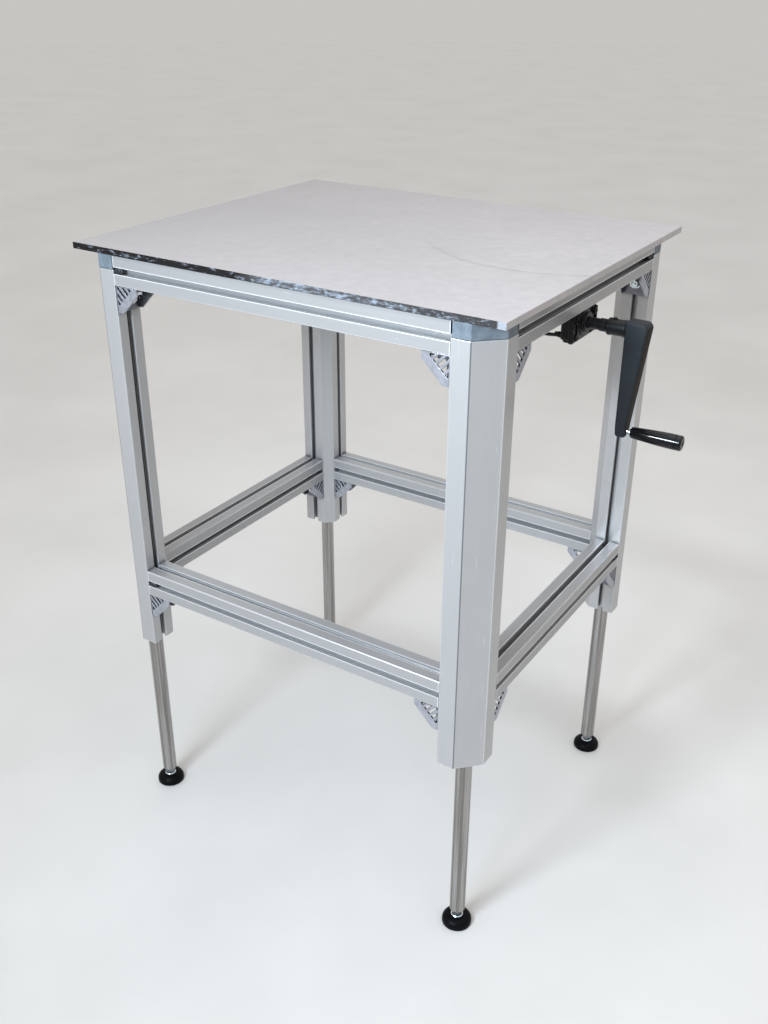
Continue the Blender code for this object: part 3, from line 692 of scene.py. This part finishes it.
def gusset_shells(leg, width):
    """A gusset's shells, its inner corner at the origin: two cheeks cut by parallel slots and
    the two plates between them. Ribs and plates overlap the cheeks and stand back by a gap, so
    that no two faces lie in one plane."""
    tip, plate, cheek = GUSSET_TIP, GUSSET_PLATE, GUSSET_CHEEK
    gap, overlap, edge = 0.0002, 0.001, 0.0004
    middle = Vector((leg + tip, -leg - tip)) / 2
    along, inward = Vector((-1, -1)).normalized(), Vector((-1, 1)).normalized()
    reach = (middle.x - SLOT_RIM) * math.sqrt(2)
    end = (GUSSET_SLOTS - 1) / 2 * SLOT_PITCH + SLOT_WIDTH / 2

    def flat(*corners):
        return [tuple(middle + along * u + inward * v) for u, v in corners]

    outer = [(0, 0), (0, -leg), (tip, -leg), (leg, -tip), (leg, 0)]
    inner = flat((0, reach), (end, reach - end), (end, SLOT_BAND), (-end, SLOT_BAND),
                 (-end, reach - end))
    ribs = []
    half, low = (SLOT_PITCH - SLOT_WIDTH) / 2, SLOT_BAND - overlap
    for k in range(GUSSET_SLOTS - 1):
        u = (k - (GUSSET_SLOTS - 2) / 2) * SLOT_PITCH
        near, far = u - half, u + half
        near_top, far_top = reach - abs(near) + overlap, reach - abs(far) + overlap
        ribs.append(flat((near, low), (far, low), (far, far_top), (near, near_top)))
    shells = []
    for outer_y in (cheek - width / 2, width / 2):
        outside = at(0, outer_y, 0) @ UPRIGHT
        inset = at(0, -gap, 0) @ outside
        shells.append((ring_prism(outer, inner, cheek, 0.0005, outside), 0))
        shells += [(prism(rib, cheek - 2 * gap, edge, inset), 0) for rib in ribs]
    y = width / 2 - cheek + gap
    shells.append((block((gap, -y, -plate), (leg - gap, y, -gap), edge), 1))
    shells.append((block((gap, -y, gap - leg), (plate, y, -plate + overlap), edge), 1))
    return shells


def gusset_places():
    """For every gusset: its name, its size, its inner corner and the way its upper plate
    points."""
    for level in ("upper", "lower"):
        for corner, sx, sy in CORNERS:
            for axis, sign in ((0, sx), (1, sy)):
                name = f"{level}_{corner}_{'xy'[axis]}"
                low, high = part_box(f"gusset_{name}")
                inner = (low + high) / 2
                inner[axis] = high[axis] if sign > 0 else low[axis]
                inner.z = high.z
                out = Vector((0, 0, 0))
                out[axis] = -sign
                yield name, high - low, inner, out


def make_gussets():
    """The gussets, and two flange bolts in each: one up into the beam, one into the post."""
    up = Vector((0, 0, 1))
    for name, size, inner, out in gusset_places():
        turn = Matrix((out, up.cross(out), up)).transposed().to_4x4()
        shells = gusset_shells(size.z, size.y if out.x else size.x)
        mesh = joined(f"slotted_gusset_{name}", shells, [CASTING, CASTING_INSIDE],
                      Matrix.Translation(inner) @ turn)
        placed(mesh, "frame", "die_cast_aluminium", f"gusset_{name}")
        under = Matrix.Translation(inner + out * BOLT_FROM_CORNER - up * GUSSET_PLATE)
        beside = Matrix.Translation(inner - up * BOLT_FROM_CORNER + out * GUSSET_PLATE)
        sideways = out.to_track_quat("Z", "X").to_matrix().to_4x4()
        bolts = flange_bolt(under @ UPSIDE_DOWN) + flange_bolt(beside @ sideways)
        mesh = joined(f"gusset_bolts_{name}", [(bolt, 0) for bolt in bolts], [ZINC])
        placed(mesh, "frame", "zinc_steel")


def make_slot_connectors():
    """The dark steel anchor with its socket screw that shows in each beam's outer slot."""
    outline = arc((ANCHOR_HALF, 0), ANCHOR_RADIUS, -90, 90, 10)
    outline += arc((-ANCHOR_HALF, 0), ANCHOR_RADIUS, 90, 270, 10)
    sides = (("front", 0, -1), ("back", 0, 1), ("left", 1, -1), ("right", 1, 1))
    for level in ("upper", "lower"):
        for side, axis, sign in sides:
            low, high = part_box(f"beam_{level}_{side}")
            face = high[1 - axis] if sign > 0 else low[1 - axis]
            place = (low + high) / 2
            place[axis] = low[0] + ANCHOR_FROM_END if axis == 0 else high[1] - ANCHOR_FROM_END
            place[1 - axis] = face - sign * ANCHOR_BELOW_FACE
            out = Vector((0, 0, 0))
            out[1 - axis] = sign
            turn = out.to_track_quat("Z", "Y").to_matrix().to_4x4()
            screw = socket_screw(0.0032, 0.0026, at(0, 0, 0.0010))
            shells = [(prism(outline, 0.0024, 0.0005), 0), (screw, 0)]
            mesh = joined(f"slot_anchor_{level}_{side}", shells, [STEEL_DARK],
                          Matrix.Translation(place) @ turn)
            placed(mesh, "frame", "zinc_steel")


# ---------------------------------------------------------------- the legs

def rod_profile(bottom, top, piston_radius):
    """A rod with the hole for its foot, and on its top a piston with a seal's groove."""
    radius, hole, lip = ROD_RADIUS, 0.0066, 0.0008
    deep, piston, groove = bottom + 0.043, top - 0.020, piston_radius - 0.0015
    return [(0, deep), (hole, deep), (hole, bottom + lip), (hole + lip, bottom),
            (radius - lip, bottom), (radius, bottom + lip), (radius, piston),
            (piston_radius, piston), (piston_radius, piston + 0.006),
            (groove, piston + 0.0065), (groove, piston + 0.0115),
            (piston_radius, piston + 0.012), (piston_radius, top), (0, top)]


def pad_profile(radius, height):
    """A levelling pad: a rim round its hollow sole, a domed back and the collar's seat."""
    sole, rim, seat, shoulder = 0.0006, 0.0012, 0.0105, 0.0055
    dome = [(seat + (radius - seat) * c, shoulder + (height - shoulder) * s)
            for c, s in arc((0, 0), 1.0, 0, 90, 12)]
    return [(0, sole), (radius - 0.004, sole), (radius - 0.0045, 0), (radius - rim, 0),
            (radius, rim), *dome, (0.0070, height), (0.0070, 0.010), (0, 0.010)]


def make_leg(corner):
    """Rod, levelling foot and the seal that wipes the rod."""
    low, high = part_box(f"rod_{corner}")
    x, y = (low.x + high.x) / 2, (low.y + high.y) / 2
    axis, bottom = at(x, y, 0), low.z
    rod = turned(rod_profile(bottom, high.z, (high.x - low.x) / 2), 64, axis)
    placed(joined(f"lift_rod_{corner}", [(rod, 0)], [ROD]),
           f"leg_{corner}", "rod_steel", f"rod_{corner}")

    low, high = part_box(f"foot_stud_{corner}")
    hex_low, hex_high = PAD_TO_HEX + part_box(f"foot_pad_{corner}")[1].z, bottom - 0.0003
    thread = threaded_bar(STUD_RADIUS, STUD_PITCH, THREAD_DEPTH, low.z, high.z)
    # The hexagon takes the rougher zinc with its painted shade.
    shells = [(thread, 0), (hexagon_head(HEX_FLATS, hex_low, hex_high), 1)]
    placed(joined(f"levelling_stud_{corner}", shells, [ZINC, ZINC_DULL_SHADED], axis),
           f"stud_{corner}", "zinc_steel", f"foot_stud_{corner}")

    low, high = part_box(f"foot_pad_{corner}")
    height = high.z
    collar = [(0.0064, height - 0.0008), (0.0098, height - 0.0008), (0.0098, height + 0.0008),
              (0.0088, height + 0.0017), (0.0064, height + 0.0017)]
    shells = [(turned(pad_profile((high.x - low.x) / 2, height)), 0), (turned(collar, 40), 1)]
    placed(joined(f"levelling_pad_{corner}", shells, [PAD_BLACK, ZINC], axis),
           f"pad_{corner}", "pad_plastic", f"foot_pad_{corner}")

    seal = [(0.0127, 0.0012), (0.0127, 0.0060), (0.0160, 0.0060), (0.0160, 0.0006),
            (0.0150, 0), (0.0135, 0)]
    seal = turned(seal, 48, at(x, y, POST_BOTTOM + 0.0010))
    placed(joined(f"wiper_seal_{corner}", [(seal, 0)], [RUBBER]), "frame", "hose_rubber")


# ---------------------------------------------------------------- pump and crank

def pump_plate(low, high, thick):
    """The pump's mounting plate, its corners rounded, from the low X face of its box."""
    middle, corner = (low + high) / 2, 0.005
    half_y, half_z = (high.y - low.y) / 2, (high.z - low.z) / 2
    outline = []
    for k, (sy, sz) in enumerate(((1, 1), (-1, 1), (-1, -1), (1, -1))):
        centre = (sy * (half_y - corner), sz * (half_z - corner))
        outline += arc(centre, corner, 90 * k, 90 * k + 90, 5)
    facing_x = Matrix(((0, 0, 1, 0), (1, 0, 0, 0), (0, 1, 0, 0), (0, 0, 0, 1)))
    return prism(outline, thick, 0.0012, at(low.x, middle.y, middle.z) @ facing_x)


def make_pump():
    """The pump's cast flange with a boss round the shaft, rims, ribs and four screws, and the
    body with its bottom plug."""
    low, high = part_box("pump_flange")
    middle, half_y, half_z = (low + high) / 2, (high.y - low.y) / 2, (high.z - low.z) / 2
    thick = 0.0055
    face = low.x + thick
    boss = [(0.0084, 0), (0.0195, 0), (0.0185, 0.0035), (0.0150, 0.0042), (0.0145, 0.0075),
            (0.0135, 0.0085), (0.0084, 0.0085)]
    boss = turned(boss, 56, at(face - 0.0015, CRANK_AXIS.y, CRANK_AXIS.z) @ ALONG_X)
    shells = [(pump_plate(low, high, thick), 0), (boss, 0)]
    for end in (-1, 1):
        rim, rib = middle.y + end * (half_y - 0.0020), CRANK_AXIS.y + end * 0.0250
        for y, half, short, lower, edge in ((rim, 0.0016, 0.003, 0.0, 0.0008),
                                            (rib, 0.0014, 0.002, 0.0004, 0.0007)):
            shells.append((block((face - 0.001, y - half, low.z + short),
                                 (high.x - lower, y + half, high.z - short), edge), 0))
        for up in (-1, 1):
            y, z = middle.y + end * (half_y - 0.0095), middle.z + up * (half_z - 0.0085)
            shells.append((socket_screw(0.0048, 0.0048, at(face - 0.0002, y, z) @ ALONG_X), 1))
    placed(joined("pump_face", shells, [PUMP_BLACK, SHAFT_BLACK]),
           "frame", "black_metal", "pump_flange")
    dress("pump_body", PUMP_BLACK, 0.0006)
    low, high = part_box("pump_body")
    plug = [(0, 0.0028), (0.0058, 0.0028), (0.0066, 0.0020), (0.0066, -0.004), (0, -0.004)]
    plug = turned(plug, 32, at(high.x - 0.008, low.y + 0.009, low.z) @ UPSIDE_DOWN)
    placed(joined("pump_drain_plug", [(plug, 0)], [SHAFT_BLACK]), "frame", "black_metal")


def make_crank():
    """Shaft and collar with their turned lips and set screw, and the tapering cast arm."""
    inner, outer = SHAFT_LOW.x, SHAFT_HIGH.x
    start, shaft, sleeve, collar = RIGHT_FACE + 0.033, 0.0080, 0.0090, 0.012
    lip, waist = 0.0006, collar - 0.0007
    profile = [(0, inner), (0.0074, inner), (shaft, inner + lip), (shaft, start - 0.012),
               (sleeve, start - 0.011), (sleeve, start - 0.0015), (0.0108, start),
               (collar, start + 0.0012), (collar, start + 0.0045), (waist, start + 0.0052),
               (waist, outer - 0.0052), (collar, outer - 0.0045), (collar, outer - lip),
               (collar - lip, outer), (0, outer)]
    spindle = turned(profile, 64, at(0, CRANK_AXIS.y, CRANK_AXIS.z) @ ALONG_X)
    screw_place = at(start + 0.009, CRANK_AXIS.y, CRANK_AXIS.z + collar - 0.0014)
    shells = [(spindle, 0), (socket_screw(0.0032, 0.0024, screw_place), 0)]
    placed(joined("crank_collar", shells, [SHAFT_BLACK]), "crank", "charcoal_metal", "crank_shaft")
    placed(arm_mesh(), "crank", "charcoal_metal", "crank_arm")


def arm_mesh():
    """The arm: flat towards the table, sloping in on the far side down to a boss for the
    handle, and narrowing downwards."""
    low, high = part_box("crank_arm")
    depth, height = high.x - low.x, high.z - low.z
    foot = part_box("grip_pin")[0].x - low.x - 0.0003
    boss = GRIP_AXIS.z - low.z + 0.007
    heel, round_top, edge = 0.004, 0.009, 0.0020
    outline = [(0, heel), *arc((heel, heel), heel, 180, 270, 4)[1:],
               *arc((foot - heel, heel), heel, 270, 360, 4), (foot, boss),
               *arc((depth - round_top, height - round_top), round_top, 8, 90, 7),
               (0, height), (0, boss)]
    bm = bmesh.new()
    bm.from_mesh(prism(outline, 1.0, 0.0, at(0, 0.5, 0) @ UPRIGHT))
    widths = [(0.0, 0.015), (boss, 0.021), (height, high.y - low.y)]
    for vertex in bm.verts:
        z = vertex.co.z
        below, above = (widths[:2] if z < boss else widths[1:])
        share = (z - below[0]) / (above[0] - below[0])
        vertex.co.y *= below[1] + (above[1] - below[1]) * share
    bmesh.ops.remove_doubles(bm, verts=bm.verts, dist=SAME_POINT)
    round_edges(bm, edge, 4, angle=40, clamp=True)
    bmesh.ops.remove_doubles(bm, verts=bm.verts, dist=SLIVER)
    bmesh.ops.dissolve_degenerate(bm, dist=SLIVER, edges=bm.edges)
    bmesh.ops.translate(bm, verts=bm.verts, vec=(low.x, CRANK_AXIS.y, low.z))
    bm.normal_update()
    for face in bm.faces:
        # The face towards +X gets the worn paint with its painted floor reflection; the rounded
        # edges keep the black paint.
        face.material_index = int(face.normal.x > 0.95)
    mesh = finish_mesh(bm, "cast_crank_arm", smooth=30)
    mesh.materials.append(ARM_PAINT)
    mesh.materials.append(ARM_WORN_AND_REFLECTION)
    return mesh


def pin_profile(length):
    """The handle's pin, with a grooved ferrule beside the arm."""
    ferrule = 0.0057
    return [(0, 0), (0.0045, 0), (0.0050, 0.0005), (0.0050, 0.0022), (0.0044, 0.0028),
            (0.0044, 0.0036), (0.0050, 0.0042), (0.0050, ferrule), (0.0040, ferrule),
            (0.0040, length - 0.001), (0.003, length), (0, length)]


def grip_profile(length, thick):
    """The grip: thin at the arm, swelling outwards, with a grooved end cap and a dimple."""
    thin, cap, hole, pin = 0.008, length - 0.008, length - 0.006, 0.0043
    profile = [(0, hole), (pin, hole), (pin, 0.0006), (0.0050, 0), (thin - 0.0012, 0),
               (thin, 0.0012)]
    for k in range(1, 15):
        share = k / 14
        radius = thin + (thick - thin) * math.sin(share * QUARTER)
        profile.append((radius, 0.0012 + share * (cap - 0.0022)))
    profile += [(thick - 0.0008, cap - 0.0006), (thick - 0.0008, cap + 0.0002),
                (thick - 0.0001, cap + 0.0008)]
    profile += [(thick - 0.003 + 0.0029 * c, length - 0.003 + 0.003 * s)
                for c, s in arc((0, 0), 1, 0, 90, 6)]
    return profile + [(0.004, length), (0.0034, length - 0.0008), (0, length - 0.0008)]


def make_handle():
    """The handle's bright pin, and the polished grip that turns on it."""
    low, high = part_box("grip_pin")
    pin = turned(pin_profile(high.x - low.x), 40, at(low.x, GRIP_AXIS.y, GRIP_AXIS.z) @ ALONG_X)
    placed(joined("handle_pin", [(pin, 0)], [ZINC]), "crank", "zinc_steel", "grip_pin")
    profile = grip_profile(GRIP_HIGH.x - GRIP_LOW.x, (GRIP_HIGH.z - GRIP_LOW.z) / 2)
    grip = turned(profile, 64, at(GRIP_LOW.x, GRIP_AXIS.y, GRIP_AXIS.z) @ ALONG_X)
    placed(joined("revolving_grip", [(grip, 0)], [GLOSS]), "handle_grip", "grip_plastic", "grip")


# ---------------------------------------------------------------- hoses

def smooth_route(points, step):
    """Points about a step apart on a Catmull-Rom curve through a route's own points."""
    points = [Vector(p) for p in points]
    padded = [2 * points[0] - points[1], *points, 2 * points[-1] - points[-2]]
    route = []
    for before, start, end, after in zip(padded, padded[1:], padded[2:], padded[3:]):
        pieces = max(1, round((end - start).length / step))
        for k in range(pieces):
            t = k / pieces
            bend = (2 * before - 5 * start + 4 * end - after) * t**2
            twist = (3 * start - before - 3 * end + after) * t**3
            route.append((2 * start + (end - before) * t + bend + twist) / 2)
    return [*route, points[-1]]


def make_hoses():
    """Each hose from its port on the pump, up beside the beams and into the head of its post,
    with a hexagon fitting on the port."""
    barrel_low, barrel_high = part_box("barrel_front_right")
    post_axis = (barrel_low + barrel_high) / 2 - Vector((CENTRE.x, CENTRE.y, 0))
    post_x, post_y = post_axis.x, -post_axis.y
    port_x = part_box("pump_body")[0].x - CENTRE.x - 0.0003
    barrel_radius = (barrel_high.x - barrel_low.x) / 2
    entry_steps = [d / math.sqrt(2) for d in (0.048, 0.034, barrel_radius + 0.0006)]
    nut = [(0, 0), (0.0046, 0), (0.0046, 0.0060), (0.0038, 0.0070), (0.0038, 0.0110), (0, 0.0110)]
    for corner, x, y in CORNERS:
        port_y, port_z, route = HOSES[corner]
        entry = [(x * (post_x - d), y * (post_y - d), HOSE_ENTRY_Z) for d in entry_steps]
        points = smooth_route([(port_x, port_y, port_z), *route, *entry], HOSE_STEP)
        curve = bpy.data.curves.new(f"hydraulic_hose_{corner}", "CURVE")
        curve.dimensions = "3D"
        curve.bevel_depth = HOSE_RADIUS
        curve.bevel_resolution = 5
        curve.use_fill_caps = True
        curve.materials.append(RUBBER)
        spline = curve.splines.new("POLY")
        spline.points.add(len(points) - 1)
        for knot, place in zip(spline.points, points):
            knot.co = (place.x + CENTRE.x, place.y + CENTRE.y, place.z, 1)
        hose = bpy.data.objects.new(curve.name, curve)
        placed_object(hose, "frame", "hose_rubber", f"hose_{corner}")
        port = at(port_x + 0.0006 + CENTRE.x, port_y + CENTRE.y, port_z)
        fitting = turned(nut, 6, port @ Matrix.Rotation(-QUARTER, 4, "Y"))
        placed(joined(f"hose_fitting_{corner}", [(fitting, 0)], [SHAFT_BLACK]),
               "frame", "black_metal")


# ---------------------------------------------------------------- studio

def area_light(name, place, aim, size, power, colour, spread=180):
    """A rectangular light aimed at a place, its spread in degrees."""
    light = bpy.data.lights.new(name, "AREA")
    light.spread = math.radians(spread)
    light.shape = "RECTANGLE"
    light.size, light.size_y = size
    light.energy = power
    light.color = colour
    lamp = bpy.data.objects.new(name, light)
    bpy.context.scene.collection.objects.link(lamp)
    lamp.location = place
    lamp.rotation_euler = (Vector(aim) - Vector(place)).to_track_quat("-Z", "Y").to_euler()


def make_floor():
    """A wide round floor, just below the pads so that the two don't lie in one plane."""
    bm = bmesh.new()
    bmesh.ops.create_circle(bm, cap_ends=True, segments=96, radius=20)
    floor = bpy.data.objects.new("studio_floor", finish_mesh(bm, "studio_floor"))
    floor.data.materials.append(studio_floor())
    floor.location.z = -0.0002
    bpy.context.scene.collection.objects.link(floor)


def make_sky():
    """A soft sky, the floor's colour at the horizon and white overhead."""
    world = bpy.data.worlds.new("studio_sky")
    bpy.context.scene.world = world
    world.use_nodes = True
    nodes, links = world.node_tree.nodes, world.node_tree.links
    height = nodes.new("ShaderNodeSeparateXYZ")
    links.new(nodes.new("ShaderNodeTexCoord").outputs["Generated"], height.inputs[0])
    ramp = nodes.new("ShaderNodeValToRGB")
    links.new(height.outputs["Z"], ramp.inputs["Fac"])
    horizon, overhead = ramp.color_ramp.elements
    horizon.position, horizon.color = 0.0, (0.62, 0.607, 0.585, 1)
    overhead.position, overhead.color = 0.85, (1.0, 1.0, 1.0, 1)
    sky = nodes["Background"]
    links.new(ramp.outputs["Color"], sky.inputs["Color"])
    sky.inputs["Strength"].default_value = 0.92


def make_studio():
    """Floor, sky, a cool key light at the front left, a soft one above the table and a small
    one that puts points of light on the glossy pieces."""
    make_floor()
    make_sky()
    area_light("key", (0.05, -2.0, 1.65), (0.1, 0, 0.9), (0.9, 0.8), 13, (0.60, 0.80, 1.0), 100)
    area_light("top", (0.2, 0.2, 3.4), (0, 0, 0.9), (3.0, 3.0), 23, (1.0, 0.98, 0.96))
    area_light("sparkle", (-0.18, -1.70, 1.537), (0.35, 0, 0.85), (0.40, 0.13), 8,
               (0.88, 0.95, 1.0), 100)
    bpy.context.scene.view_settings.view_transform = "Standard"


def make_camera():
    """The camera that took the photo, fitted to the table's own edges."""
    camera = bpy.data.objects.new("camera", bpy.data.cameras.new("camera"))
    bpy.context.scene.collection.objects.link(camera)
    bpy.context.scene.camera = camera
    camera.data.lens = CAMERA_LENS
    camera.data.sensor_width = 36
    footprint = at(CENTRE.x, CENTRE.y, 0)
    turn = Matrix.Rotation(CAMERA_TURN, 4, "Z") @ Matrix.Rotation(QUARTER - CAMERA_DOWN, 4, "X")
    roll = Matrix.Rotation(CAMERA_ROLL, 4, "Z")
    camera.matrix_world = footprint @ Matrix.Translation(CAMERA_PLACE) @ turn @ roll


def main():
    make_camera()
    dress_frame()
    make_worktop()
    make_gussets()
    make_slot_connectors()
    for corner, _, _ in CORNERS:
        make_leg(corner)
    make_pump()
    make_crank()
    make_handle()
    make_hoses()
    make_studio()


main()
